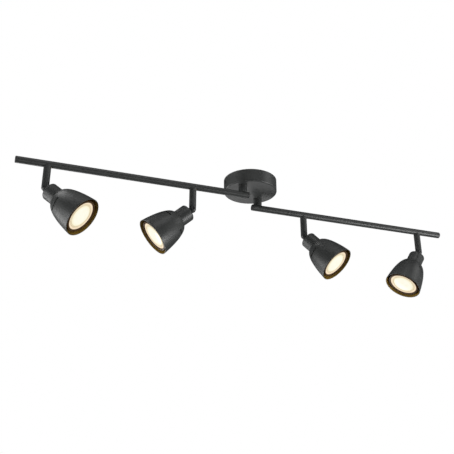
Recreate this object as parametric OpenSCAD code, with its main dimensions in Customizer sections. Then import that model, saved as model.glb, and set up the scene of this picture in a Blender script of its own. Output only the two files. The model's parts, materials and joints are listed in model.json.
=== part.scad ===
// Ceiling spotlight bar: a round canopy carries two straight arms that swing on short posts.
// Each arm carries two spot heads, and each head turns on its stem and tilts on a fork hinge.
// The origin is the centre of the canopy's ceiling face. +X runs along the right arm, +Z is up.

/* [Canopy] */
// Outer diameter of the canopy
canopy_d = 84; // [76:1:100]
// Height of the canopy
canopy_h = 20.6; // [19:0.2:26]
// Wall thickness of the canopy
canopy_wall = 1.2; // [0.8:0.1:1.6]
// Radius of the canopy's lower edge
canopy_edge_r = 2.2; // [1.6:0.1:3]

/* [Ceiling bracket] */
// Distance between the two slotted ceiling holes
bracket_hole_pitch = 54; // [50:1:56]
// Width of each ceiling slot
bracket_slot_w = 4.6; // [4:0.1:5]
// End-to-end length of each ceiling slot
bracket_slot_l = 9; // [7:0.5:10]

/* [Arms] */
// Distance from the middle line to each arm's swivel, along the arms
post_x = 20; // [19:0.5:22]
// Distance from the middle line to each arm, across the arms
arm_y = 19.5; // [18.5:0.5:21]
// Height from the ceiling down to the arms' middle line
arm_drop = 36; // [36:0.2:42]
// Outer diameter of the arm tubes
bar_d = 10.2; // [9:0.1:10.6]
// Length of each arm tube over its end caps
bar_l = 352.4; // [345:0.2:380]
// Length of tube past the swivel, towards the middle
bar_tail = 10.4; // [9.6:0.2:11]
// Outer diameter of the swivel posts
post_d = 13.5; // [13:0.5:15]

/* [Stems] */
// Distance from the swivel to the inner stem
inner_stem_at = 80.6; // [80:0.2:90]
// Distance from the swivel to the outer stem
outer_stem_at = 296.6; // [290:0.2:300]
// Outer diameter of the stems
stem_d = 10.7; // [10.5:0.1:11.2]
// Height from the ceiling down to the tilt hinges
hinge_drop = 73.9; // [73:0.1:80]

/* [Heads] */
// Turn of each head about its stem, in degrees from +X, from left to right
head_pan = [-27.5, -186.5, -42.8, -177.5];
// Tilt of each head from straight down, in degrees, from left to right
head_tilt = [50.1, 48.9, 42.1, 31.5];
// Turn of each shade on its neck, in degrees, from left to right
shade_turn = [0, 48, 0, 0];
// Outer diameter of the neck
neck_d = 26; // [25:0.1:26.6]
// Distance from the hinge to the neck's rear face
neck_rear = 8.1; // [7.6:0.1:9]
// Distance from the hinge to the shade's rear face
shade_rear = 28; // [27.6:0.1:29]
// Distance from the hinge to the shade's rim
shade_front = 76.8; // [76:0.1:78]
// Outer diameter of the shade's rim
shade_d = 59; // [58:0.1:60]
// Wall thickness of the shade
shade_wall = 1.1; // [0.8:0.1:1.2]

/* [Hidden] */
$fn = 96;
eps = 0.01;
slide_gap = 0.05;      // between flat faces that turn on each other, and round a running shaft
clear_gap = 0.4;       // between round faces of pieces that move past each other

canopy_r = canopy_d / 2;
canopy_floor_z = -canopy_h;
canopy_inner_z = canopy_floor_z + canopy_wall;

bracket_t = 1.5;
bracket_w = 16;
bracket_half = canopy_r - canopy_wall - 1.3;
ear_drop = 13.5;
cover_screw_z = -9;
cover_screw_r = 1.5;
side_drill = [30, 50];  // how far out the side screws' drill starts and ends
earth_x = 17;
driver_slot = 0.5;      // width of the slots in slotted screws

block_half_l = 11;
block_half_w = 6.5;
block_h = 11;
pole_pitch = 7;
barrel_r = 1.9;
barrel_wall = 0.7;
clamp_y = 3.4;          // each clamp screw's distance from the middle of its barrel
clamp_screw_r = 1.3;
sleeve_r = 1.2;

nipple_r = 4;
nipple_bore_r = 2.5;
nipple_top_z = -9.5;
bush_flange_r = 6.4;
bush_flange_t = 0.7;
bush_top_z = canopy_inner_z + 0.1;
post_top_z = canopy_floor_z - bush_flange_t - slide_gap;
washer_t = 1;
washer_r = 7.5;
nut_t = 5;
nut_r = 7.5;

bar_r = bar_d / 2;
bar_wall = 1.2;
bar_bore_r = bar_r - bar_wall;
post_core_z = -arm_drop + bar_r + 2.5;   // bottom of the nipple's hole in the post
cap_edge_r = 1.4;
cap_head = 2.2;
cap_plug = 7;
seat_depth = 1.4;      // flat milled into the tube where a stem meets it
seat_z = -arm_drop - bar_r + seat_depth;
socket_half = 6;
lead_r = 0.7;
lead_y = 0.85;
lead_rise = 1.9;

stem_r = stem_d / 2;
stem_top_z = seat_z - slide_gap;
stem_plate = 2.4;
stem_bore_r = 4.15;
hinge_z = -hinge_drop;
fork_w = 3.6;
fork_top = 6.2;        // above the hinge
core_top = 10;         // solid end of the stem, above the hinge
pan_bolt_r = 2.5;
pan_bolt_bore_r = 1.2;
pan_head_r = 3.7;
pan_head_t = 2.2;

tab_t = 3;
tab_r = 4.6;
screw_r = 1.5;
screw_head_r = 2.5;
screw_head_y = 3.55;

neck_r = neck_d / 2;
neck_wall = 1.2;
neck_edge_r = 2.5;
neck_floor = 1.5;
spigot_r = 10.95;
spigot_bore_r = 10;
spigot_l = 2.4;

shade_r = shade_d / 2;
shade_steps = 20;
vent_at = 41;          // distance of the vent slots from the hinge
vent_w = 1.8;
vent_span = 52;

holder_r = 11.2;
holder_rear = 10.2;
holder_front = 22.4;
pin_y = 5;             // half of the lamp base's pin pitch
pin_r = 1.5;
pin_foot_r = 2.5;
pin_foot_l = 1.6;
pin_rear = 15;

lamp_rear = 22.5;
lamp_front = 75;
lamp_r = 25;
lamp_wall = 1.4;
lens_r = 22;
lens_back = 72.2;
lens_crown = 1.4;

// Place of each head: arm side (-1 left, 1 right) and distance along the arm
HEAD_SIDE = [-1, -1, 1, 1];
HEAD_AT = [outer_stem_at, inner_stem_at, inner_stem_at, outer_stem_at];
SIDES = ["left", "right"];
ROOT_NODES = ["canopy_cover", "ceiling_bracket", "cover_screws", "terminal_block", "terminal_barrels",
    "terminal_screws", "earth_screw", "swivel_bushes", "canopy_leads"];
ARM_NODES = ["bar", "post", "nipple", "swivel_washer", "swivel_nut", "end_caps", "stem_sockets",
    "pan_bolts", "arm_leads"];
HEAD_NODES = ["stem", "hinge_screw", "neck", "shade", "lampholder", "lamp_body", "lamp_lens", "lamp_pins"];

// ---- placing -------------------------------------------------------------------------------

// Carries an arm's pieces, drawn along +X from the swivel axis, to the left (0) or the right (1)
module on_arm(side) {
    rotate([0, 0, side == 0 ? 180 : 0]) translate([post_x, arm_y, 0]) children();
}

// Carries a stem's pieces, drawn with the hinge at the origin, to head k and its turn
module on_stem(k) {
    translate([HEAD_SIDE[k] * (post_x + HEAD_AT[k]), HEAD_SIDE[k] * arm_y, hinge_z])
        rotate([0, 0, head_pan[k]]) children();
}

// Carries a head's pieces, drawn hanging straight down from the hinge, to head k's turn and tilt
module on_head(k) {
    on_stem(k) rotate([0, -head_tilt[k], 0]) children();
}

// Draws its children at both stems of an arm
module at_stems() {
    for (x = [inner_stem_at, outer_stem_at]) translate([x, 0, 0]) children();
}

// Solid of revolution about Z from points [distance from the hinge, radius]
module turned(points) {
    rotate_extrude() polygon([for (p = points) [p[1], -p[0]]]);
}

// Cylinder between two heights
module rod(r, z0, z1) {
    translate([0, 0, z0]) cylinder(r = r, h = z1 - z0);
}

// Cylinder along X between two places
module rod_x(r, x0, x1) {
    translate([x0, 0, 0]) rotate([0, 90, 0]) cylinder(r = r, h = x1 - x0);
}

// Cylinder along Y between two places
module rod_y(r, y0, y1) {
    translate([0, y1, 0]) rotate([90, 0, 0]) cylinder(r = r, h = y1 - y0);
}

// ---- canopy ----------------------------------------------------------------------------------

module canopy_cover() {
    color("#2b2c2e") difference() {
        rotate_extrude() {
            square([canopy_r - canopy_edge_r, canopy_h]);
            translate([0, canopy_edge_r]) square([canopy_r, canopy_h - canopy_edge_r]);
            translate([canopy_r - canopy_edge_r, canopy_edge_r]) circle(r = canopy_edge_r);
        }
        rod(canopy_r - canopy_wall, canopy_wall, canopy_h + 1);
        for (s = [-1, 1]) {
            translate([s * post_x, s * arm_y, 0]) rod(bush_hole_r(), -1, canopy_wall + 1);
            translate([0, 0, canopy_h + cover_screw_z]) side_drilling(s, cover_screw_r + 0.2);
        }
    }
}

function bush_hole_r() = nipple_r + 1;

// Drill for one side screw, out along +X (side 1) or -X (side -1)
module side_drilling(side, r) {
    rotate([0, 0, side > 0 ? 0 : 180]) rod_x(r, side_drill[0], side_drill[1]);
}

module ceiling_bracket() {
    color("#b9bcc0") difference() {
        union() {
            translate([-bracket_half, -bracket_w / 2, -bracket_t])
                cube([2 * bracket_half, bracket_w, bracket_t]);
            for (s = [-1, 1]) translate([s * (bracket_half - bracket_t / 2), 0, -ear_drop / 2])
                cube([bracket_t, bracket_w, ear_drop], center = true);
        }
        for (s = [-1, 1]) {
            translate([s * bracket_hole_pitch / 2, 0, 0]) ceiling_slot();
            translate([0, 0, cover_screw_z]) side_drilling(s, cover_screw_r);
        }
        translate([earth_x, 0, 0]) rod(screw_r, -5, 1);
    }
}

// Slot with round ends through the bracket, long in X
module ceiling_slot() {
    straight = bracket_slot_l - bracket_slot_w;
    for (s = [-1, 1]) translate([s * straight / 2, 0, 0]) rod(bracket_slot_w / 2, -5, 1);
    translate([-straight / 2, -bracket_slot_w / 2, -5]) cube([straight, bracket_slot_w, 6]);
}

// Two side screws that hold the cover to the bracket's ears
module cover_screws() {
    color("#2b2c2e") for (a = [0, 180]) rotate([0, 0, a]) translate([0, 0, cover_screw_z])
        difference() {
            union() {
                rod_x(cover_screw_r, bracket_half - bracket_t - 1.5, canopy_r + 0.2);
                rod_x(cover_screw_r + 1, canopy_r, canopy_r + 1);
            }
            translate([canopy_r + 0.5, -2, -driver_slot / 2]) cube([1, 4, driver_slot]);
        }
}

module terminal_block() {
    color("#ece8dc") difference() {
        translate([-block_half_l, -block_half_w, -bracket_t - block_h])
            cube([2 * block_half_l, 2 * block_half_w, block_h]);
        for (p = [-1:1]) translate([p * pole_pitch, 0, 0]) {
            translate([0, 0, block_mid_z()]) rod_y(barrel_r, -block_half_w - 1, block_half_w + 1);
            for (s = [-1, 1]) translate([0, s * clamp_y, 0])
                rod(clamp_screw_r + 0.3, -bracket_t - block_h - 1, block_mid_z());
        }
    }
}

function block_mid_z() = -bracket_t - block_h / 2;

module terminal_barrels() {
    color("#c9a24a") for (p = [-1:1]) translate([p * pole_pitch, 0, block_mid_z()]) difference() {
        rod_y(barrel_r, -block_half_w + 1, block_half_w - 1);
        rod_y(barrel_r - barrel_wall, -block_half_w, block_half_w);
        for (s = [-1, 1]) translate([0, s * clamp_y, 0]) rod(clamp_screw_r, -3, 0);
    }
}

module terminal_screws() {
    color("#c9a24a") for (p = [-1:1]) for (s = [-1, 1])
        translate([p * pole_pitch, s * clamp_y, block_mid_z()]) difference() {
            rod(clamp_screw_r, -4.6, -1.0);
            translate([-2, -driver_slot / 2, -5]) cube([4, driver_slot, 1]);
        }
}

module earth_screw() {
    color("#c9a24a") translate([earth_x, 0, 0]) difference() {
        union() {
            rod(screw_r, -5, -0.2);
            rod(screw_r + 1.6, -4.2, -bracket_t);
        }
        translate([-2, -driver_slot / 2, -5.5]) cube([4, driver_slot, 1]);
    }
}

// Plastic bushes that line the canopy's two swivel holes, with a flange under the canopy
module swivel_bushes() {
    color("#1d1e1f") for (s = [-1, 1]) translate([s * post_x, s * arm_y, 0]) difference() {
        union() {
            rod(bush_hole_r(), canopy_floor_z - bush_flange_t, bush_top_z);
            rod(bush_flange_r, canopy_floor_z - bush_flange_t, canopy_floor_z);
        }
        rod(nipple_r + slide_gap, -canopy_h - 5, 0);
    }
}

// Sleeved leads that curve from the terminal block's outer poles to above each nipple
module canopy_leads() {
    bend_r = post_x - pole_pitch;
    color("#d8d4c8") for (a = [0, 180]) rotate([0, 0, a]) translate([0, 0, block_mid_z()]) {
        translate([pole_pitch, 0, 0]) rod_y(sleeve_r, block_half_w - 1, arm_y - bend_r);
        translate([post_x, arm_y - bend_r, 0]) rotate([0, 0, 90])
            rotate_extrude(angle = 90) translate([bend_r, 0]) circle(r = sleeve_r);
    }
}

// ---- arms --------------------------------------------------------------------------------------

module bar() {
    color("#2b2c2e") difference() {
        translate([0, 0, -arm_drop]) difference() {
            rod_x(bar_r, -bar_tail + cap_head, bar_l - bar_tail - cap_head);
            rod_x(bar_bore_r, -bar_tail, bar_l - bar_tail);
            rod(nipple_bore_r, 0, bar_r + 1);
        }
        at_stems() {
            rod(stem_r + clear_gap, seat_z - 10, seat_z);
            rod(pan_bolt_r + slide_gap, seat_z - 1, -arm_drop);
        }
    }
}

// Short round post brazed on the tube, tapped for the nipple
module post() {
    color("#2b2c2e") difference() {
        rod(post_d / 2, -arm_drop + 2.8, post_top_z);
        rod(nipple_r, post_core_z, post_top_z + 1);
        rod(nipple_bore_r, -arm_drop, post_core_z + 1);
        translate([0, 0, -arm_drop]) rod_x(bar_r, -20, 20);
    }
}

// Hollow threaded nipple that hangs the arm from the canopy and passes the leads
module nipple() {
    color("#c9a24a") difference() {
        rod(nipple_r, post_core_z, nipple_top_z);
        rod(nipple_bore_r, post_core_z - 1, nipple_top_z + 1);
    }
}

module swivel_washer() {
    color("#b9bcc0") difference() {
        rod(washer_r, bush_top_z + slide_gap, bush_top_z + slide_gap + washer_t);
        rod(nipple_r, -canopy_h, 0);
    }
}

module swivel_nut() {
    color("#b9bcc0") translate([0, 0, bush_top_z + slide_gap + washer_t]) difference() {
        cylinder(r = nut_r, h = nut_t, $fn = 6);
        rod(nipple_r, -1, nut_t + 1);
    }
}

// Round-edged caps that close both ends of the tube
module end_caps() {
    color("#232426") translate([0, 0, -arm_drop]) {
        translate([bar_l - bar_tail, 0, 0]) end_cap();
        translate([-bar_tail, 0, 0]) rotate([0, 0, 180]) end_cap();
    }
}

// One cap, its outer face at the origin and facing +X
module end_cap() {
    rotate([0, 90, 0]) rotate_extrude() {
        translate([0, -cap_head]) square([bar_r, cap_head - cap_edge_r]);
        translate([0, -cap_edge_r - eps]) square([bar_r - cap_edge_r, cap_edge_r + eps]);
        intersection() {
            translate([bar_r - cap_edge_r, -cap_edge_r]) circle(r = cap_edge_r);
            translate([0, -cap_edge_r - eps]) square([bar_r, cap_edge_r + eps]);
        }
        translate([0, -cap_plug]) square([bar_bore_r, cap_plug - cap_head + eps]);
    }
}

// Plugs fixed in the tube, tapped from below for the stems' bolts and open on top for the leads
module stem_sockets() {
    color("#c9a24a") at_stems() difference() {
        translate([0, 0, -arm_drop]) difference() {
            rod_x(bar_bore_r, -socket_half, socket_half);
            translate([-socket_half - 1, -lead_y - 1.05, 0.9])
                cube([2 * socket_half + 2, 2 * lead_y + 2.1, bar_r]);
        }
        rod(pan_bolt_r, seat_z - 5, -arm_drop + 0.9 + eps);
        rod(stem_r + clear_gap, seat_z - 10, seat_z);
    }
}

// Hollow bolts that the stems hang on and turn about
module pan_bolts() {
    color("#b9bcc0") at_stems() difference() {
        union() {
            rod(pan_bolt_r, pan_head_top(), -arm_drop + 0.6);
            rod(pan_head_r, pan_head_top() - pan_head_t, pan_head_top());
        }
        rod(pan_bolt_bore_r, -70, -30);
        translate([0, 0, pan_head_top() - pan_head_t - 1]) cylinder(r = 2, h = 2, $fn = 6);
    }
}

function pan_head_top() = stem_top_z - stem_plate - slide_gap;

// Pair of leads that runs through the tube, over the inner socket, to the outer one
module arm_leads() {
    color("#8c3b2e") for (s = [-1, 1])
        translate([0, s * lead_y, -arm_drop + lead_rise]) rod_x(lead_r, 0, outer_stem_at);
}

// ---- stems ---------------------------------------------------------------------------------------

// Tube with a plate on top that turns on the bolt, and a forked round end that holds the head
module stem() {
    top = stem_top_z - hinge_z;
    color("#2b2c2e") difference() {
        union() {
            rod(stem_r, 0, top);
            sphere(r = stem_r);
        }
        rod(stem_bore_r, core_top, top - stem_plate);
        rod(pan_bolt_r + slide_gap, top - stem_plate - 1, top + 1);
        rod(screw_r, 0, core_top + 1);
        translate([-stem_r - 1, -fork_w / 2, -stem_r - 1])
            cube([2 * stem_r + 2, fork_w, stem_r + 1 + fork_top]);
        rod_y(screw_r, -stem_r - 1, stem_r + 1);
        rod_y(screw_head_r + 0.2, screw_head_y, stem_r + 1);
    }
}

// Screw across the fork that the head tilts on
module hinge_screw() {
    color("#3a3b3d") difference() {
        union() {
            rod_y(screw_r, -stem_r + 0.5, screw_head_y);
            rod_y(screw_head_r, screw_head_y, screw_head_y + 1.4);
        }
        translate([0, screw_head_y + 2, 0]) rotate([90, 0, 0]) cylinder(r = 1.15, h = 1.4, $fn = 6);
    }
}

// ---- heads ---------------------------------------------------------------------------------------

// Round cup with a tab on its back that tilts in the stem's fork
module neck() {
    edge_steps = 6;
    edge = [for (i = [0:edge_steps]) let (a = 90 * i / edge_steps)
        [neck_rear + neck_edge_r * (1 - sin(a)), neck_r - neck_edge_r * (1 - cos(a))]];
    color("#2b2c2e") union() {
        difference() {
            turned(concat([[neck_rear, 0]], [for (i = [edge_steps:-1:0]) edge[i]],
                [[shade_rear, neck_r], [shade_rear, spigot_r], [shade_rear + spigot_l, spigot_r],
                    [shade_rear + spigot_l, 0]]));
            rod(neck_r - neck_wall, -shade_rear + 1.2, -neck_rear - neck_floor);
            rod(spigot_bore_r, -shade_rear - spigot_l - 1, -neck_rear - neck_floor);
        }
        difference() {
            union() {
                rod_y(tab_r, -tab_t / 2, tab_t / 2);
                translate([-tab_r, -tab_t / 2, -neck_rear - 0.5]) cube([2 * tab_r, tab_t, neck_rear + 0.5]);
            }
            rod_y(screw_r + slide_gap, -tab_t, tab_t);
        }
    }
}

// The shade's outline is one cubic curve from the shoulder to the rim, [distance, radius]
CURVE = [[shade_rear, 13.5], [shade_rear + 2.5, 20.5], [46, 26.5], [shade_front, shade_r]];

function curve_at(t) = pow(1 - t, 3) * CURVE[0] + 3 * pow(1 - t, 2) * t * CURVE[1]
    + 3 * (1 - t) * t * t * CURVE[2] + pow(t, 3) * CURVE[3];

function slope_at(t) = 3 * pow(1 - t, 2) * (CURVE[1] - CURVE[0])
    + 6 * (1 - t) * t * (CURVE[2] - CURVE[1]) + 3 * t * t * (CURVE[3] - CURVE[2]);

// Point on the inner face, one wall thickness in from the outer curve
function inside_at(t) = let (d = slope_at(t), n = norm(d))
    curve_at(t) + shade_wall * [d[1], -d[0]] / n;

// Open bell with a flat back that sits on the neck, and three vent slots round its shoulder
module shade(k) {
    outer = [for (i = [0:shade_steps]) curve_at(i / shade_steps)];
    inner = [for (i = [shade_steps:-1:0]) inside_at(i / shade_steps)];
    rim = [[shade_front, shade_r - shade_wall]];
    kept = [for (p = inner) if (p[0] < shade_front - 0.2) p];
    color("#2b2c2e") difference() {
        turned(concat([[shade_rear, spigot_r]], outer, rim, kept,
            [[shade_rear + shade_wall, spigot_r]]));
        for (a = [0, 120, 240]) rotate([0, 0, a + shade_turn[k] - vent_span / 2])
            translate([0, 0, -vent_at]) rotate_extrude(angle = vent_span)
                translate([15, -vent_w / 2]) square([15, vent_w]);
    }
}

module lampholder() {
    color("#e9e5da") difference() {
        rod(holder_r, -holder_front, -holder_rear);
        for (s = [-1, 1]) translate([0, s * pin_y, 0])
            rod(pin_foot_r + 0.1, -holder_front - 1, -pin_rear + 1);
    }
}

// Lamp housing: a tapering cup with a round base, its front edge framing the lens
module lamp_body() {
    color("#2a2724") turned([
        [lamp_rear, 0], [lamp_rear, 9], [30, 9.5], [36, 13.5], [44, 17.5], [52, 21], [60, 24],
        [64, lamp_r], [lamp_front - 0.4, lamp_r], [lamp_front, lamp_r - 0.4],
        [lamp_front, lens_r], [lens_back - 3, lens_r],
        [60, 24 - 2 * lamp_wall], [44, 17.5 - lamp_wall], [36, 13.5 - lamp_wall],
        [31, 9.5 - lamp_wall], [31, 0]]);
}

// Front lens, slightly crowned
module lamp_lens() {
    steps = 6;
    color("#fff3d6") turned(concat([[lens_back, 0], [lens_back, lens_r]],
        [for (i = [steps:-1:0]) let (u = i / steps)
            [lens_back + 1 + lens_crown * (1 - u * u), lens_r * u]]));
}

// The lamp base's two contact pins, each with a wider foot
module lamp_pins() {
    color("#b9bcc0") for (s = [-1, 1]) translate([0, s * pin_y, 0]) {
        rod(pin_r, -lamp_rear, -pin_rear);
        rod(pin_foot_r, -pin_rear - pin_foot_l, -pin_rear);
    }
}

// ---- what each node draws ----------------------------------------------------------------------

translate([0, 0, canopy_floor_z]) canopy_cover();
ceiling_bracket();
cover_screws();
terminal_block();
terminal_barrels();
terminal_screws();
earth_screw();
swivel_bushes();
canopy_leads();
for (i = [0:1]) {
    on_arm(i) bar();
    on_arm(i) post();
    on_arm(i) nipple();
    on_arm(i) swivel_washer();
    on_arm(i) swivel_nut();
    on_arm(i) end_caps();
    on_arm(i) stem_sockets();
    on_arm(i) pan_bolts();
    on_arm(i) arm_leads();
}
for (k = [0:3]) {
    on_stem(k) stem();
    on_stem(k) hinge_screw();
    on_head(k) neck();
    on_head(k) shade(k);
    on_head(k) lampholder();
    on_head(k) lamp_body();
    on_head(k) lamp_lens();
    on_head(k) lamp_pins();
}
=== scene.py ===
"""Looks of a ceiling spotlight bar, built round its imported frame.

A round canopy carries two straight arms on short posts, and each arm carries two spot heads.
Heads are modelled hanging straight down from a hinge at the origin, so that a distance along a head
is how far below the hinge a point lies, and are then carried to each hinge. Lengths are in metres.
"""

import json
import logging
import math
from collections.abc import Callable, Iterable, Sequence
from dataclasses import dataclass, field
from enum import Enum
from typing import Any

import bmesh
import bpy
from mathutils import Matrix, Vector


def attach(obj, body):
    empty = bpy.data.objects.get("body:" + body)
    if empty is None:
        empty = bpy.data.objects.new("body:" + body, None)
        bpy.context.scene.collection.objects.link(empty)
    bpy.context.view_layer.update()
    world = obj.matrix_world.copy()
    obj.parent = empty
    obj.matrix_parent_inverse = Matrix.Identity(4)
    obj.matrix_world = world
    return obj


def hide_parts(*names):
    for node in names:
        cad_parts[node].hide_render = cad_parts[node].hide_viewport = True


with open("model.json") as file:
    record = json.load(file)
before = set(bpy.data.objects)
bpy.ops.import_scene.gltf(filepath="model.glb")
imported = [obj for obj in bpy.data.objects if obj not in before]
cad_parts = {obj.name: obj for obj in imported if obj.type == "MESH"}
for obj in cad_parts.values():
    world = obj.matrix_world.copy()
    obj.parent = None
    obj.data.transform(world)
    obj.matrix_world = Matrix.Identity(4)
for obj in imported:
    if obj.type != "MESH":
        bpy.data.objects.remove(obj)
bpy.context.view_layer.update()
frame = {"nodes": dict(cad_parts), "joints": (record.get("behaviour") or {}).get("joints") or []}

LOG = logging.getLogger("spotlight_bar")
MM = 0.001
POLE_R = 0.01 * MM
MERGE_WITHIN = 5 * POLE_R
SHARP_EDGE = 40
Colour = tuple[float, float, float]
Outline = Sequence[tuple[float, float]]


# ---- modelling ----------------------------------------------------------------------------------


class Parts(Enum):
    """What a selection in edit mode is made of."""

    EDGES = "EDGE"
    FACES = "FACE"


class Bench:
    """Runs the modelling operators on one piece at a time."""

    @staticmethod
    def release() -> None:
        """Goes back to object mode with nothing selected."""
        active = bpy.context.view_layer.objects.active
        if active is not None and active.mode != "OBJECT":
            bpy.ops.object.mode_set(mode="OBJECT")
        bpy.ops.object.select_all(action="DESELECT")
        bpy.context.view_layer.objects.active = None

    @staticmethod
    def named(name: str) -> bpy.types.Object:
        """Names the primitive that was just added, and its mesh.

        Args:
            name: The name for both.

        Returns:
            The primitive's object.
        """
        piece = bpy.context.object
        piece.name = name
        piece.data.name = name
        return piece

    @staticmethod
    def edit(piece: bpy.types.Object, parts: Parts = Parts.FACES) -> None:
        """Opens a piece in edit mode with nothing in it selected.

        Args:
            piece: The mesh object to edit.
            parts: What the selections that follow are made of.
        """
        Bench.release()
        piece.select_set(True)
        bpy.context.view_layer.objects.active = piece
        bpy.ops.object.mode_set(mode="EDIT")
        bpy.ops.mesh.select_mode(type=parts.value)
        bpy.ops.mesh.select_all(action="DESELECT")

    @staticmethod
    def pick(piece: bpy.types.Object, parts: Parts, wanted: Callable[[Any], bool]) -> None:
        """Selects the parts of the open piece that pass a test, and nothing else.

        Args:
            piece: The piece that is open in edit mode.
            parts: Which kind of part is tested.
            wanted: Says of an edge or face whether it is selected.
        """
        bpy.ops.mesh.select_mode(type=parts.value)
        bpy.ops.mesh.select_all(action="DESELECT")
        mesh = bmesh.from_edit_mesh(piece.data)
        for item in {Parts.EDGES: mesh.edges, Parts.FACES: mesh.faces}[parts]:
            if wanted(item):
                item.select_set(True)
        mesh.select_flush_mode()
        bmesh.update_edit_mesh(piece.data)

    @staticmethod
    def tidy() -> None:
        """Merges doubled points of the open piece and turns its faces outwards."""
        bpy.ops.mesh.select_all(action="SELECT")
        bpy.ops.mesh.remove_doubles(threshold=MERGE_WITHIN)
        bpy.ops.mesh.normals_make_consistent(inside=False)

    @staticmethod
    def turned(name: str, outline: Outline, sides: int) -> bpy.types.Object:
        """Draws an outline round the vertical axis, one extruded and resized ring after another.

        Args:
            name: Name of the new piece.
            outline: Points as distance below the hinge and radius; a radius of 0 is a closed pole.
            sides: Number of faces in each ring.

        Returns:
            The new piece, in object mode.
        """
        rings = [(distance, max(radius, POLE_R)) for distance, radius in outline]
        at, across = rings[0]
        Bench.release()
        bpy.ops.mesh.primitive_circle_add(vertices=sides, radius=across, location=(0, 0, 0))
        piece = Bench.named(name)
        Bench.edit(piece, Parts.EDGES)
        bpy.ops.mesh.select_all(action="SELECT")
        bpy.ops.transform.translate(value=(0, 0, -at))
        for distance, radius in rings[1:]:
            bpy.ops.mesh.extrude_region_move(
                TRANSFORM_OT_translate={"value": (0, 0, at - distance)}
            )
            grow = radius / across
            bpy.ops.transform.resize(value=(grow, grow, 1), center_override=(0, 0, -distance))
            at, across = distance, radius
        Bench.tidy()
        Bench.release()
        return piece

    @staticmethod
    def modify(piece: bpy.types.Object, kind: str, **settings: Any) -> None:
        """Adds a modifier to a piece and applies it.

        Args:
            piece: The piece that is changed.
            kind: Blender's type name of the modifier.
            settings: Values for the modifier's own settings.
        """
        Bench.release()
        piece.select_set(True)
        bpy.context.view_layer.objects.active = piece
        modifier = piece.modifiers.new(kind.lower(), kind)
        for key, value in settings.items():
            setattr(modifier, key, value)
        bpy.ops.object.modifier_apply(modifier=modifier.name)

    @staticmethod
    def round_edges(piece: bpy.types.Object, width: float, steps: int = 2) -> None:
        """Rounds every edge that bends more than SHARP_EDGE degrees.

        Args:
            piece: The piece whose edges are rounded.
            width: How far the rounding reaches from the edge.
            steps: Number of faces across the rounding.
        """
        Bench.modify(
            piece, "BEVEL", width=width, segments=steps, limit_method="ANGLE",
            angle_limit=math.radians(SHARP_EDGE), harden_normals=False,
        )

    @staticmethod
    def smooth(piece: bpy.types.Object, angle: float = 35) -> None:
        """Shades a piece smooth, apart from its sharp edges.

        Args:
            piece: The piece to shade.
            angle: Edges flatter than this many degrees are shaded smooth.
        """
        Bench.release()
        piece.select_set(True)
        bpy.context.view_layer.objects.active = piece
        bpy.ops.object.shade_smooth_by_angle(angle=math.radians(angle))

    @staticmethod
    def join(first: bpy.types.Object, *others: bpy.types.Object) -> bpy.types.Object:
        """Joins pieces into the first one.

        Args:
            first: The piece that the others are joined into.
            others: The other pieces.

        Returns:
            The first piece.
        """
        Bench.release()
        for piece in (first, *others):
            piece.select_set(True)
        bpy.context.view_layer.objects.active = first
        bpy.ops.object.join()
        return first

    @staticmethod
    def copy_to(piece: bpy.types.Object, name: str, place: Matrix) -> bpy.types.Object:
        """Copies a piece with its own mesh and puts the place into that mesh.

        Args:
            piece: The piece that is repeated.
            name: Name of the copy.
            place: Where the copy goes, from the piece's own frame.

        Returns:
            The copy, with its object at the origin.
        """
        Bench.release()
        piece.select_set(True)
        bpy.context.view_layer.objects.active = piece
        bpy.ops.object.duplicate(linked=False)
        copy = Bench.named(name)
        copy.matrix_world = place
        bpy.ops.object.transform_apply(location=True, rotation=True, scale=True)
        return copy

    @staticmethod
    def discard(*pieces: bpy.types.Object) -> None:
        """Deletes pieces that were only needed to make others.

        Args:
            pieces: The pieces to delete.
        """
        Bench.release()
        for piece in pieces:
            piece.select_set(True)
        bpy.ops.object.delete()


# ---- finishes -----------------------------------------------------------------------------------


class Value:
    """A shader socket that sums, products and the like turn into Math nodes."""

    def __init__(self, shader: "Shader", socket: bpy.types.NodeSocket) -> None:
        """Wraps an output socket of a shader's node."""
        self.shader = shader
        self.socket = socket

    def _maths(self, operation: str, first: Any, second: Any = 0.0) -> "Value":
        """Adds a Math node on two values and returns its result."""
        node = self.shader.node(
            "ShaderNodeMath", {"operation": operation}, {0: first, 1: second}
        )
        return Value(self.shader, node.outputs[0])

    def __add__(self, other: Any) -> "Value":
        """Sum."""
        return self._maths("ADD", self, other)

    __radd__ = __add__

    def __sub__(self, other: Any) -> "Value":
        """Difference."""
        return self._maths("SUBTRACT", self, other)

    def __rsub__(self, other: Any) -> "Value":
        """Difference from a number."""
        return self._maths("SUBTRACT", other, self)

    def __mul__(self, other: Any) -> "Value":
        """Product."""
        return self._maths("MULTIPLY", self, other)

    __rmul__ = __mul__

    def sine(self) -> "Value":
        """Sine."""
        return self._maths("SINE", self)

    def angle_of(self, other: "Value") -> "Value":
        """Angle of the point with this as its height and the other as its reach."""
        return self._maths("ARCTAN2", self, other)

    def root(self) -> "Value":
        """Square root."""
        return self._maths("SQRT", self)

    def above(self, edge: float, blur: float) -> "Value":
        """Mask that rises from 0 to 1 round an edge.

        Args:
            edge: Where the mask is halfway.
            blur: Distance over which it rises.

        Returns:
            The mask.
        """
        node = self.shader.node(
            "ShaderNodeMapRange", {"interpolation_type": "SMOOTHSTEP"},
            {"Value": self, "From Min": edge - blur / 2, "From Max": edge + blur / 2},
        )
        return Value(self.shader, node.outputs[0])


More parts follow.
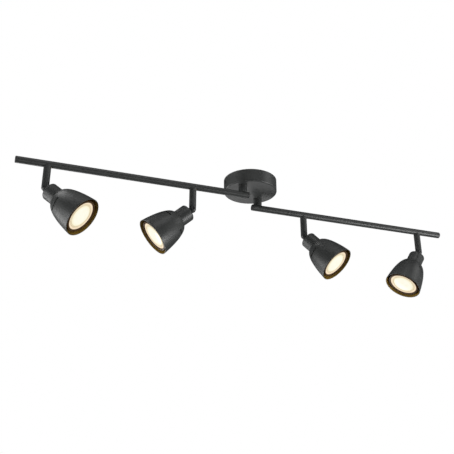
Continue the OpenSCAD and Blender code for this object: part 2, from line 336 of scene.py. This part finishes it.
class Shader:
    """One material's node tree, with one Principled shader."""

    def __init__(self, name: str) -> None:
        """Starts an empty material with its shader and output joined.

        Args:
            name: Name of the material.
        """
        self.material = bpy.data.materials.new(name)
        self.material.use_nodes = True
        self.tree = self.material.node_tree
        self.tree.nodes.clear()
        self.surface = self.node("ShaderNodeBsdfPrincipled")
        self.node("ShaderNodeOutputMaterial", inputs={"Surface": self.surface.outputs[0]})

    def node(
        self, kind: str, settings: dict[str, Any] | None = None,
        inputs: dict[str | int, Any] | None = None,
    ) -> bpy.types.Node:
        """Adds a node.

        Args:
            kind: Blender's type name of the node.
            settings: Settings made first; "stops" are a ramp's places and colours.
            inputs: Values or links of its sockets, by name or number.

        Returns:
            The node.
        """
        node = self.tree.nodes.new(kind)
        for key, value in (settings or {}).items():
            if key == "stops":
                self._set_stops(node.color_ramp, value)
            else:
                setattr(node, key, value)
        for key, value in (inputs or {}).items():
            self.feed(node.inputs[key], value)
        return node

    def feed(self, socket: bpy.types.NodeSocket, value: Any) -> None:
        """Links or sets one input socket.

        Args:
            socket: The input socket.
            value: A Value or an output socket to link, or a number or colour to set.
        """
        if isinstance(value, Value):
            value = value.socket
        if isinstance(value, bpy.types.NodeSocket):
            self.tree.links.new(value, socket)
        elif socket.type == "RGBA" and len(value) == 3:
            socket.default_value = (*value, 1.0)
        else:
            socket.default_value = value

    def dress(self, **sockets: Any) -> None:
        """Sets or links sockets of the Principled shader; underscores stand for spaces."""
        for key, value in sockets.items():
            self.feed(self.surface.inputs[key.replace("_", " ")], value)

    @staticmethod
    def _set_stops(ramp: bpy.types.ColorRamp, stops: Sequence[tuple[float, Colour]]) -> None:
        """Gives a colour ramp its stops.

        Args:
            ramp: The ramp.
            stops: Place and colour of each stop, from low to high.
        """
        while len(ramp.elements) < len(stops):
            ramp.elements.new(1.0)
        for element, (place, colour) in zip(ramp.elements, stops):
            element.position = place
            element.color = (*colour, 1.0)

    def place(self) -> bpy.types.NodeSocket:
        """Object coordinates, which are metres in the fixture's frame."""
        return self.node("ShaderNodeTexCoord").outputs["Object"]

    def noise(self, size: float, detail: float = 2.0, stretch: Colour = (1, 1, 1)) -> Value:
        """Noise fixed to the surface.

        Args:
            size: Width of one blot.
            detail: How many finer octaves it has.
            stretch: How much denser the pattern is along each axis.

        Returns:
            The noise, round 0.5.
        """
        mapped = self.node("ShaderNodeMapping", inputs={0: self.place(), "Scale": stretch})
        node = self.node(
            "ShaderNodeTexNoise",
            inputs={"Vector": mapped.outputs[0], "Scale": 1 / size, "Detail": detail},
        )
        return Value(self, node.outputs[0])

    def between(self, mask: Value, low: Any, high: Any) -> bpy.types.NodeSocket:
        """Colour that goes from low to high with a mask."""
        node = self.node(
            "ShaderNodeMix", {"data_type": "RGBA"}, {0: mask, 6: low, 7: high}
        )
        return node.outputs[2]

    def bumps(self, height: Value, depth: float) -> bpy.types.NodeSocket:
        """Surface normal with bumps of a height map that is at most depth high."""
        node = self.node("ShaderNodeBump", inputs={"Height": height, "Distance": depth})
        return node.outputs[0]


@dataclass(frozen=True)
class Skin:
    """A finish made of a colour that drifts, a roughness that drifts and a fine grain."""

    name: str
    colour: Colour
    other_colour: Colour
    roughness: float
    roughness_drift: float = 0.06
    metallic: float = 0.0
    patch: float = 12 * MM
    grain: float = 0.5 * MM
    grain_depth: float = 0.01 * MM
    stretch: Colour = (1, 1, 1)
    coat: float = 0.0
    level: float = 0.5
    glow: float = 0.0
    patch_share: float = 0.6
    tone_blur: float = 0.5
    coat_roughness: float = 0.15

    def material(self) -> bpy.types.Material:
        """Builds the finish.

        Returns:
            The new material.
        """
        shader = Shader(self.name)
        patches = shader.noise(self.patch, 3.0)
        grain = shader.noise(self.grain, 2.0, self.stretch)
        blend = patches * self.patch_share + grain * (1 - self.patch_share)
        tone = blend.above(0.5, self.tone_blur)
        shader.dress(
            Base_Color=shader.between(tone, self.colour, self.other_colour),
            Roughness=(patches - 0.5) * self.roughness_drift * 2
            + (grain - 0.5) * self.roughness_drift + self.roughness,
            Metallic=self.metallic,
            Specular_IOR_Level=self.level,
            Coat_Weight=self.coat,
            Coat_Roughness=self.coat_roughness,
            Normal=shader.bumps(grain, self.grain_depth),
        )
        if self.glow:
            shader.dress(Emission_Color=self.colour, Emission_Strength=self.glow)
        return shader.material


@dataclass(frozen=True)
class LitLens:
    """Front lens of a lit lamp: bright in the middle, with a ribbed ring near its edge."""

    name: str = "lit_front_lens"
    middle: Colour = (1.0, 0.98, 0.84)
    field_tone: Colour = (0.97, 0.9, 0.66)
    ring: Colour = (0.5, 0.36, 0.2)
    edge: Colour = (0.95, 0.76, 0.55)
    border: Colour = (0.4, 0.28, 0.15)
    body: Colour = (0.06, 0.06, 0.05)
    ring_body: Colour = (0.05, 0.04, 0.03)
    middle_to: float = 0.55
    field_at: float = 0.72
    ring_from: float = 0.77
    ring_to: float = 0.86
    edge_from: float = 0.9
    edge_to: float = 0.965
    border_at: float = 0.995
    ribbed: tuple[float, float] = (0.75, 0.88)
    ribbed_blur: float = 0.02
    ribs: int = 72
    rib_tint: float = 0.75
    rib_depth: float = 0.15 * MM
    cloud: float = 6 * MM
    cloud_tint: float = 0.25
    roughness: float = 0.12
    roughness_rise: float = 0.1
    strength: float = 0.95

    def material(self) -> bpy.types.Material:
        """Builds the finish, which reads the lens's own map.

        Returns:
            The new material.
        """
        shader = Shader(self.name)
        own_map = shader.node("ShaderNodeUVMap", {"uv_map": LampFront.MAP}).outputs[0]
        split = shader.node("ShaderNodeSeparateXYZ", inputs={0: own_map})
        across, up = (Value(shader, split.outputs[i]) * 2 - 1 for i in (0, 1))
        reach = (across * across + up * up).root()
        ramp = shader.node(
            "ShaderNodeValToRGB",
            {"stops": [
                (0.0, self.middle), (self.middle_to, self.middle),
                (self.field_at, self.field_tone), (self.ring_from, self.ring),
                (self.ring_to, self.ring), (self.edge_from, self.edge),
                (self.edge_to, self.edge), (self.border_at, self.border),
            ]},
            {0: reach},
        )
        past_inner, past_outer = (reach.above(at, self.ribbed_blur) for at in self.ribbed)
        in_ring = past_inner * (1 - past_outer)
        rib = (up.angle_of(across) * self.ribs).sine().above(0.1, 0.6) * in_ring
        cloud = shader.noise(self.cloud, 1.0).above(0.55, 0.4) * self.cloud_tint
        glow = shader.between(rib * self.rib_tint, ramp.outputs[0], self.field_tone)
        glow = shader.between(cloud, glow, self.field_tone)
        shader.dress(
            Base_Color=shader.between(in_ring, self.body, self.ring_body),
            Roughness=reach * self.roughness_rise + self.roughness,
            Emission_Color=glow,
            Emission_Strength=self.strength,
            Normal=shader.bumps(rib, self.rib_depth),
        )
        return shader.material


BLACK_COAT = Skin(
    "satin_black_coat", (0.034, 0.036, 0.035), (0.046, 0.048, 0.047), 0.42, 0.05,
    grain=0.3 * MM, grain_depth=0.002 * MM, patch=18 * MM, level=0.4,
)
# Painted light: a warm brown on the shade's black inner wall, painted to stand for the lamp's glow
# falling on it.
PAINTED_LAMPLIGHT_INSIDE = Skin(
    "painted_lamplight_inner_coat", (0.19, 0.11, 0.018), (0.28, 0.175, 0.032), 0.45, 0.06,
    grain=0.6 * MM, grain_depth=0.02 * MM, patch=9 * MM, level=0.2,
)
BLACK_PLASTIC = Skin(
    "matt_black_plastic", (0.018, 0.018, 0.019), (0.028, 0.028, 0.029), 0.52, 0.06,
    grain=0.25 * MM, grain_depth=0.02 * MM,
)
BLACK_SCREW = Skin(
    "blackened_steel", (0.04, 0.04, 0.042), (0.09, 0.09, 0.092), 0.34, 0.1, metallic=0.7,
    grain=0.3 * MM, patch=3 * MM,
)
ZINC_STEEL = Skin(
    "zinc_plated_steel", (0.52, 0.53, 0.55), (0.7, 0.71, 0.73), 0.36, 0.12, metallic=1.0,
    grain=0.25 * MM, patch=5 * MM, stretch=(0.12, 1, 1),
)
BRASS = Skin(
    "turned_brass", (0.62, 0.44, 0.19), (0.82, 0.64, 0.32), 0.28, 0.1, metallic=1.0,
    grain=0.15 * MM, patch=2 * MM, stretch=(1, 1, 4),
)
CERAMIC = Skin(
    "unglazed_ceramic", (0.72, 0.7, 0.63), (0.85, 0.83, 0.77), 0.7, 0.08,
    grain=0.4 * MM, grain_depth=0.05 * MM, patch=4 * MM,
)
BLOCK_PLASTIC = Skin(
    "off_white_block_plastic", (0.74, 0.71, 0.63), (0.83, 0.8, 0.72), 0.32, 0.06,
    grain=0.3 * MM, coat=0.2, patch=6 * MM,
)
LEAD_SLEEVE = Skin(
    "silicone_sleeve", (0.62, 0.59, 0.52), (0.72, 0.7, 0.63), 0.55, 0.06, grain=0.3 * MM,
)
CORE_LEADS = Skin(
    "silicone_core_insulation", (0.3, 0.07, 0.045), (0.42, 0.11, 0.07), 0.5, 0.06,
    grain=0.3 * MM,
)
LAMP_HOUSING = Skin(
    "black_lamp_housing", (0.045, 0.022, 0.006), (0.06, 0.03, 0.009), 0.4, 0.08,
    grain=0.3 * MM, patch=5 * MM, level=0.2,
)
BRIGHT_PINS = Skin(
    "nickel_plate", (0.66, 0.65, 0.62), (0.78, 0.77, 0.74), 0.2, 0.08, metallic=1.0,
    grain=0.2 * MM, patch=2 * MM,
)
STUDIO_FLOOR = Skin(
    "studio_floor", (0.86, 0.86, 0.86), (0.88, 0.88, 0.88), 0.85, 0.04,
    grain=4 * MM, grain_depth=0.05 * MM, patch=0.6, level=0.1, glow=1.15,
)


class Finishes:
    """The material of each slot of the record, built once."""

    def __init__(self) -> None:
        """Builds every slot's material and the shade's inner one, whose warm brown is painted
        lamplight.
        """
        kinds = {
            "black_coat": BLACK_COAT, "black_plastic": BLACK_PLASTIC,
            "black_screw": BLACK_SCREW, "zinc_steel": ZINC_STEEL, "brass": BRASS,
            "ceramic": CERAMIC, "block_plastic": BLOCK_PLASTIC, "lead_sleeve": LEAD_SLEEVE,
            "core_leads": CORE_LEADS, "lamp_housing": LAMP_HOUSING, "lamp_lens": LitLens(),
            "bright_pins": BRIGHT_PINS,
        }
        self.of_slot = {slot: kind.material() for slot, kind in kinds.items()}
        # The shade's inner wall gets a warm brown that paints the lamp's glow onto the black coat.
        self.inside = PAINTED_LAMPLIGHT_INSIDE.material()

    def dress_frame(self, nodes: dict[str, bpy.types.Object]) -> None:
        """Gives each carried-over node the material of its slot.

        Args:
            nodes: The frame's nodes by name, each with its slot's name as its material.
        """
        for node in nodes.values():
            for held in node.material_slots:
                held.material = self.of_slot[held.material.name.split(".")[0]]


# ---- heads --------------------------------------------------------------------------------------


@dataclass
class Hinge:
    """Where one head hangs, read from the frame's joints."""

    number: int
    point: Vector
    pan: float
    tilt: float

    @classmethod
    def read(cls, number: int, joints: Iterable[dict[str, Any]]) -> "Hinge":
        """Reads a head's hinge.

        Args:
            number: Number of the head, from 1.
            joints: The frame's joints.

        Returns:
            The hinge: a head's tilt stops 90 degrees either side of straight down.
        """
        joint = next(j for j in joints if j["name"] == f"head_{number}_tilt")
        across = joint["axis"]
        return cls(
            number, Vector(joint["pos_m"]), math.atan2(across[0], -across[1]),
            math.radians(90 - joint["range_deg"][1]),
        )

    def place(self, turn: float = 0.0) -> Matrix:
        """Carries what hangs at the origin to this head, turned about its own axis by degrees."""
        return (
            Matrix.Translation(self.point)
            @ Matrix.Rotation(self.pan, 4, "Z")
            @ Matrix.Rotation(-self.tilt, 4, "Y")
            @ Matrix.Rotation(math.radians(turn), 4, "Z")
        )


@dataclass
class HeadPart:
    """A part that every head has one of: built once, then copied to each hinge."""

    stem: str = ""
    slot: str = "black_coat"
    turns: tuple[float, ...] = (0, 0, 0, 0)

    def model(self) -> bpy.types.Object:
        """Builds the part at the origin and returns it."""
        raise NotImplementedError

    def paint(self, piece: bpy.types.Object, finishes: Finishes) -> None:
        """Puts the slot's material on the part."""
        piece.data.materials.clear()
        piece.data.materials.append(finishes.of_slot[self.slot])

    def fit(self, hinges: Sequence[Hinge], finishes: Finishes) -> None:
        """Models the part, paints it and hangs a copy at each hinge.

        Args:
            hinges: The heads' hinges.
            finishes: The materials.
        """
        pattern = self.model()
        self.paint(pattern, finishes)
        for hinge, turn in zip(hinges, self.turns):
            node = f"{self.stem}_{hinge.number}"
            piece = Bench.copy_to(pattern, f"{self.stem}_piece_{hinge.number}", hinge.place(turn))
            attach(piece, f"head_{hinge.number}")
            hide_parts(node)
            LOG.info("%s: %d faces, stands for %s", piece.name, len(piece.data.polygons), node)
        Bench.discard(pattern)


@dataclass
class Shade(HeadPart):
    """Open bell with a flat back, three vent slots round its shoulder and a rounded rim."""

    stem: str = "shade"
    turns: tuple[float, ...] = (0, 48, 0, 0)
    rear: float = 28 * MM
    hole_r: float = 10.98 * MM
    wall: float = 1.1 * MM
    sides: int = 180
    steps: int = 26
    curve: Outline = ((28 * MM, 13.5 * MM), (30.5 * MM, 20.5 * MM), (46 * MM, 26.5 * MM),
                      (76.8 * MM, 29.5 * MM))
    vent_at: float = 41 * MM
    vent_width: float = 1.8 * MM
    vent_span: float = 52
    vents: int = 3
    vent_clear: float = 0.3
    edge: float = 0.2 * MM
    edge_steps: int = 3
    halvings: int = 40

    def point(self, t: float) -> tuple[float, float]:
        """Distance and radius of the outer curve at t, from 0 at the shoulder to 1 at the rim."""
        weights = ((1 - t) ** 3, 3 * (1 - t) ** 2 * t, 3 * (1 - t) * t * t, t ** 3)
        return tuple(sum(w * p[i] for w, p in zip(weights, self.curve)) for i in (0, 1))

    def curve_place(self, distance: float) -> float:
        """Finds where the curve passes a distance from the hinge, by halving.

        Args:
            distance: How far below the hinge the point lies.

        Returns:
            The place along the curve, from 0 to 1.
        """
        low, high = 0.0, 1.0
        for _ in range(self.halvings):
            middle = (low + high) / 2
            if self.point(middle)[0] < distance:
                low = middle
            else:
                high = middle
        return (low + high) / 2

    def outline(self) -> list[tuple[float, float]]:
        """Draws the outer outline, with a ring on each side of the vents.

        Returns:
            Points as distance and radius, from the neck's hole to the rim.
        """
        vent_edges = [
            self.curve_place(self.vent_at + side * self.vent_width / 2) for side in (-1, 1)
        ]
        places = [i / self.steps for i in range(self.steps + 1)]
        clear = self.vent_clear / self.steps
        places = [t for t in places if all(abs(t - v) > clear for v in vent_edges)
                  and not vent_edges[0] < t < vent_edges[1]]
        return [(self.rear, self.hole_r)] + [self.point(t) for t in sorted(places + vent_edges)]

    def is_vent(self, face: Any) -> bool:
        """Says whether a face lies in one of the vent slots.

        Args:
            face: A face of the turned shade.

        Returns:
            True where the face is cut away.
        """
        middle = face.calc_center_median()
        if abs(-middle.z - self.vent_at) > self.vent_width * 0.45:
            return False
        pitch = 360 / self.vents
        angle = math.degrees(math.atan2(middle.y, middle.x))
        return abs((angle + pitch / 2) % pitch - pitch / 2) < self.vent_span / 2

    def model(self) -> bpy.types.Object:
        """Builds the shade: rings, cut vents, then the wall and rounded edges.

        Returns:
            The shade, with one material slot for its outside and one for its inside.
        """
        shade = Bench.turned("shade_pattern", self.outline(), self.sides)
        Bench.edit(shade)
        Bench.pick(shade, Parts.FACES, self.is_vent)
        bpy.ops.mesh.delete(type="FACE")
        Bench.release()
        shade.data.materials.append(None)
        shade.data.materials.append(None)
        Bench.modify(
            shade, "SOLIDIFY", thickness=self.wall, offset=-1.0, use_even_offset=True,
            material_offset=1, material_offset_rim=0,
        )
        Bench.round_edges(shade, self.edge, self.edge_steps)
        Bench.smooth(shade, 30)
        return shade

    def paint(self, piece: bpy.types.Object, finishes: Finishes) -> None:
        """Puts the black coat outside and the painted lamplight colour on the inner wall."""
        piece.material_slots[0].material = finishes.of_slot[self.slot]
        piece.material_slots[1].material = finishes.inside


@dataclass
class Neck(HeadPart):
    """Round cup with a soft rear edge and a round-ended tab that tilts in the stem's fork."""

    stem: str = "neck"
    rear: float = 8.08 * MM
    shoulder: float = 28 * MM
    radius: float = 13 * MM
    rear_edge: float = 2.5 * MM
    spigot_r: float = 10.95 * MM
    spigot_end: float = 30.4 * MM
    bore_r: float = 10.4 * MM
    floor: float = 1.5 * MM
    tab_r: float = 4.6 * MM
    tab_t: float = 3.0 * MM
    tab_hole_r: float = 1.55 * MM
    lip: float = 0.25 * MM
    tab_sunk: float = 0.4 * MM
    sides: int = 128
    tab_sides: int = 64
    hole_sides: int = 40
    edge_steps: int = 8

    def cup(self) -> bpy.types.Object:
        """Builds the cup as one closed turned shell.

        Returns:
            The cup.
        """
        quarter = [math.radians(90 * i / self.edge_steps) for i in range(self.edge_steps + 1)]
        soft = [
            (self.rear + self.rear_edge * (1 - math.cos(a)),
             self.radius - self.rear_edge * (1 - math.sin(a))) for a in quarter
        ]
        outline = [(self.rear, 0.0), *soft, (self.shoulder - self.lip, self.radius),
                   (self.shoulder, self.radius - self.lip), (self.shoulder, self.spigot_r),
                   (self.spigot_end, self.spigot_r), (self.spigot_end, self.bore_r),
                   (self.rear + self.floor, self.bore_r), (self.rear + self.floor, 0.0)]
        return Bench.turned("neck_pattern", outline, self.sides)

    def tab(self) -> bpy.types.Object:
        """Builds the tab: the upper half of a disc, drawn down to the cup and drilled.

        Returns:
            The tab.
        """
        Bench.release()
        bpy.ops.mesh.primitive_cylinder_add(
            vertices=self.tab_sides, radius=self.tab_r, depth=self.tab_t,
            rotation=(math.pi / 2, 0, 0),
        )
        tab = Bench.named("neck_tab")
        bpy.ops.object.transform_apply(location=True, rotation=True, scale=True)
        Bench.edit(tab)
        bpy.ops.mesh.select_all(action="SELECT")
        bpy.ops.mesh.bisect(
            plane_co=(0, 0, 0), plane_no=(0, 0, -1), clear_outer=True, use_fill=True
        )
        Bench.pick(tab, Parts.FACES, lambda face: face.normal.z < -0.99)
        bpy.ops.mesh.extrude_region_move(
            TRANSFORM_OT_translate={"value": (0, 0, -self.rear - self.tab_sunk)}
        )
        Bench.tidy()
        Bench.release()
        bpy.ops.mesh.primitive_cylinder_add(
            vertices=self.hole_sides, radius=self.tab_hole_r, depth=3 * self.tab_t,
            rotation=(math.pi / 2, 0, 0),
        )
        drill = Bench.named("neck_drill")
        bpy.ops.object.transform_apply(location=True, rotation=True, scale=True)
        Bench.modify(tab, "BOOLEAN", operation="DIFFERENCE", object=drill, solver="EXACT")
        Bench.discard(drill)
        Bench.round_edges(tab, self.lip)
        return tab

    def model(self) -> bpy.types.Object:
        """Builds the cup and its tab.

        Returns:
            Both as one piece.
        """
        neck = Bench.join(self.cup(), self.tab())
        Bench.smooth(neck, 32)
        return neck


@dataclass
class LampBody(HeadPart):
    """Lamp housing: ribbed tapering cup with a smooth front ring that frames the lens."""

    stem: str = "lamp_body"
    slot: str = "lamp_housing"
    rear: float = 22.5 * MM
    front: float = 75 * MM
    radius: float = 25 * MM
    mouth_r: float = 22 * MM
    ring_edge: float = 0.8 * MM
    sides: int = 144
    rib_from: float = 37 * MM
    rib_to: float = 59 * MM
    rib_height: float = 0.9 * MM
    rib_inset: float = 0.12 * MM
    rib_pitch: int = 4
    rib_faces: int = 2
    base_r: float = 9 * MM
    taper: Outline = ((30 * MM, 9.5 * MM), (36 * MM, 13 * MM), (44 * MM, 17 * MM),
                      (52 * MM, 20.5 * MM), (60 * MM, 23.6 * MM))
    ring_from: float = 64 * MM
    inner: Outline = ((60 * MM, 21 * MM), (44 * MM, 15.5 * MM), (32 * MM, 8 * MM),
                      (31 * MM, 0.0))

    def is_rib(self, face: Any) -> bool:
        """Says whether a face of the taper is drawn out into a cooling rib.

        Args:
            face: A face of the turned housing.

        Returns:
            True for rib_faces outer faces out of every rib_pitch round the taper.
        """
        middle = face.calc_center_median()
        if not self.rib_from < -middle.z < self.rib_to or face.normal.z < -0.01:
            return False
        outward = Vector((middle.x, middle.y, 0)).normalized().dot(face.normal)
        sector = math.degrees(math.atan2(middle.y, middle.x)) % 360 / (360 / self.sides)
        return outward > 0.5 and int(sector) % self.rib_pitch < self.rib_faces

    def model(self) -> bpy.types.Object:
        """Builds the housing and draws out its ribs.

        Returns:
            The housing.
        """
        front, radius, mouth_r = self.front, self.radius, self.mouth_r
        outline = [
            (self.rear, 0.0), (self.rear, self.base_r), *self.taper,
            (self.ring_from, radius), (front - self.ring_edge, radius),
            (front - 0.2 * MM, radius - 0.3 * MM), (front, radius - self.ring_edge),
            (front, mouth_r + 0.5 * MM), (front - 0.6 * MM, mouth_r),
            (72 * MM, mouth_r), (69 * MM, mouth_r - 0.4 * MM), *self.inner,
        ]
        body = Bench.turned("lamp_body_pattern", outline, self.sides)
        Bench.edit(body)
        Bench.pick(body, Parts.FACES, self.is_rib)
        bpy.ops.mesh.inset(thickness=self.rib_inset, depth=self.rib_height)
        Bench.release()
        Bench.smooth(body, 32)
        return body


@dataclass
class LampFront(HeadPart):
    """Front lens of the lamp: domed middle, a ring of short radial ribs, then a plain band."""

    MAP = "lens_map"

    stem: str = "lamp_lens"
    slot: str = "lamp_lens"
    back: float = 72.2 * MM
    radius: float = 21.98 * MM
    band: float = 73.4 * MM
    ring_outer: float = 19.4 * MM
    ring_inner: float = 16.8 * MM
    ring_depth: float = 0.45 * MM
    crown: float = 74.6 * MM
    ring_slope: float = 0.25 * MM
    ribs: int = 72
    rib_inset: float = 0.1 * MM
    rib_height: float = 0.3 * MM
    rib_clear: float = 0.2 * MM
    bevel: float = 0.3 * MM
    dome_steps: int = 8

    def is_rib(self, face: Any) -> bool:
        """Says whether a face in the ring's floor is drawn out into a rib.

        Args:
            face: A face of the turned lens.

        Returns:
            True for every other face round the ring's floor.
        """
        middle = face.calc_center_median()
        reach = math.hypot(middle.x, middle.y)
        sector = int(math.degrees(math.atan2(middle.y, middle.x)) % 360 / (180 / self.ribs))
        inside = self.ring_inner + self.rib_clear < reach < self.ring_outer - self.rib_clear
        return inside and face.normal.z < -0.9 and sector % 2 == 0

    def model(self) -> bpy.types.Object:
        """Builds the lens, raises its ribs and gives it its own flat map.

        Returns:
            The lens.
        """
        floor = self.band - self.ring_depth
        dome_r = self.ring_inner - self.ring_slope
        dome = [(i / self.dome_steps) for i in range(self.dome_steps, -1, -1)]
        outline = [
            (self.back, 0.0), (self.back, self.radius), (self.band - self.bevel, self.radius),
            (self.band, self.radius - self.bevel), (self.band, self.ring_outer + self.ring_slope),
            (floor, self.ring_outer), (floor, self.ring_inner),
            *[(self.band + (self.crown - self.band) * (1 - u * u), dome_r * u) for u in dome],
        ]
        lens = Bench.turned("lamp_lens_pattern", outline, 2 * self.ribs)
        Bench.edit(lens)
        Bench.pick(lens, Parts.FACES, self.is_rib)
        bpy.ops.mesh.inset(thickness=self.rib_inset, depth=self.rib_height)
        Bench.release()
        Bench.smooth(lens, 28)
        self.lay_map(lens)
        return lens

    def lay_map(self, lens: bpy.types.Object) -> None:
        """Lays a flat map over the lens, seen along its axis, with its edge on the unit square.

        Args:
            lens: The lens, at the origin.
        """
        layer = lens.data.uv_layers.new(name=self.MAP)
        for corner, spot in zip(lens.data.loops, layer.data):
            point = lens.data.vertices[corner.vertex_index].co
            spot.uv = (0.5 + point.x / (2 * self.radius), 0.5 + point.y / (2 * self.radius))


# ---- studio -------------------------------------------------------------------------------------


CENTRE = (0.0, 0.0, -0.06)


@dataclass
class Softbox:
    """A square soft light that faces a point."""

    name: str
    place: tuple[float, float, float]
    size: float
    watts: float
    aim: tuple[float, float, float] = CENTRE

    def hang(self) -> None:
        """Adds the light."""
        light = bpy.data.lights.new(self.name, "AREA")
        light.shape = "SQUARE"
        light.size = self.size
        light.energy = self.watts
        holder = bpy.data.objects.new(self.name, light)
        bpy.context.scene.collection.objects.link(holder)
        holder.location = self.place
        towards = Vector(self.aim) - Vector(self.place)
        holder.rotation_euler = towards.to_track_quat("-Z", "Y").to_euler()
        holder.visible_camera = False


@dataclass
class Studio:
    """Pale floor, white surroundings, soft lights and the camera.

    The softboxes' strengths were worked out by a least-squares solver, and the
    camera's place and lens by a camera fit. Both were then rounded and typed in.
    """

    floor_z: float = -1.6
    floor_half: float = 30.0
    surround: float = 1.0
    bounce: float = 0.06
    bounce_tint: Colour = (0.96, 0.98, 1)
    lens: float = 56.63
    sensor: float = 36.0
    nearest: float = 0.01
    eye: tuple[float, float, float] = (-0.3701, -0.9503, -0.5274)
    eye_yaw: float = 19.2
    eye_pitch: float = 23.7
    softboxes: list[Softbox] = field(default_factory=lambda: [
        Softbox("overhead", (0.0, -0.2, 1.8), 1.5, 2.5),
        Softbox("high_front", (0.0, -1.3, 1.5), 1.0, 7),
        Softbox("high_left", (-1.2, 0.2, 1.5), 0.9, 12),
        Softbox("high_right", (1.4, -0.8, 0.8), 0.9, 5),
        Softbox("left", (-1.7, -0.2, -0.5), 0.9, 13),
        Softbox("left_behind", (-1.6, 0.9, -0.5), 0.9, 14),
        Softbox("right", (1.7, -0.2, -0.5), 0.9, 2),
        Softbox("low_behind", (0.5, 1.8, -0.95), 1.0, 5),
        Softbox("low_behind_left", (-0.6, 1.8, -0.95), 1.0, 15),
        Softbox("low_front", (-0.3, -1.6, -1.2), 1.0, 4),
        Softbox("low_front_right", (1.4, -1.0, -1.0), 0.9, 32),
    ])

    def lay_floor(self) -> None:
        """Adds the floor, which is wide enough that its edge is never seen."""
        Bench.release()
        bpy.ops.mesh.primitive_grid_add(x_subdivisions=8, y_subdivisions=8, size=1)
        floor = Bench.named("studio_floor")
        Bench.edit(floor)
        bpy.ops.mesh.select_all(action="SELECT")
        bpy.ops.transform.resize(value=(2 * self.floor_half, 2 * self.floor_half, 1))
        bpy.ops.transform.translate(value=(0, 0, self.floor_z))
        Bench.release()
        floor.data.materials.append(STUDIO_FLOOR.material())
        floor.visible_glossy = False
        floor.visible_diffuse = False
        LOG.info("%s laid", floor.name)

    def surround_with_white(self) -> None:
        """Makes the surroundings white to look at and dim to be lit by."""
        world = bpy.data.worlds.new("studio_surround")
        bpy.context.scene.world = world
        world.use_nodes = True
        nodes, links = world.node_tree.nodes, world.node_tree.links
        nodes.clear()
        seen, lit = (nodes.new("ShaderNodeBackground") for _ in range(2))
        seen.inputs[1].default_value = self.surround
        seen.inputs[0].default_value = (1, 1, 1, 1)
        lit.inputs[0].default_value = (*self.bounce_tint, 1)
        lit.inputs[1].default_value = self.bounce
        chooser = nodes.new("ShaderNodeMixShader")
        output = nodes.new("ShaderNodeOutputWorld")
        links.new(nodes.new("ShaderNodeLightPath").outputs["Is Camera Ray"], chooser.inputs[0])
        links.new(lit.outputs[0], chooser.inputs[1])
        links.new(seen.outputs[0], chooser.inputs[2])
        links.new(chooser.outputs[0], output.inputs[0])

    def hang_lights(self) -> None:
        """Hangs the softboxes."""
        for softbox in self.softboxes:
            softbox.hang()
        LOG.info("%d softboxes hung", len(self.softboxes))

    def set_camera(self) -> None:
        """Adds the camera, looking up at the fixture from the left."""
        camera = bpy.data.cameras.new("camera")
        camera.sensor_width = self.sensor
        camera.lens = self.lens
        camera.clip_start = self.nearest
        holder = bpy.data.objects.new("camera", camera)
        bpy.context.scene.collection.objects.link(holder)
        holder.location = self.eye
        holder.rotation_euler = (
            math.radians(90 + self.eye_pitch), 0, math.radians(-self.eye_yaw)
        )
        bpy.context.scene.camera = holder

    def build(self) -> None:
        """Sets up the whole studio."""
        self.lay_floor()
        self.surround_with_white()
        self.hang_lights()
        self.set_camera()
        bpy.context.scene.view_settings.view_transform = "Standard"


# ---- making -------------------------------------------------------------------------------------


def main() -> None:
    """Builds and dresses every piece in order and reports each one."""
    logging.basicConfig(level=logging.INFO, format="%(name)s: %(message)s")
    finishes = Finishes()
    finishes.dress_frame(frame["nodes"])
    LOG.info("%d frame nodes dressed", len(frame["nodes"]))
    hinges = [Hinge.read(number, frame["joints"]) for number in (1, 2, 3, 4)]
    for part in (Neck(), Shade(), LampBody(), LampFront()):
        part.fit(hinges, finishes)
    Studio().build()


if __name__ == "__main__":
    main()
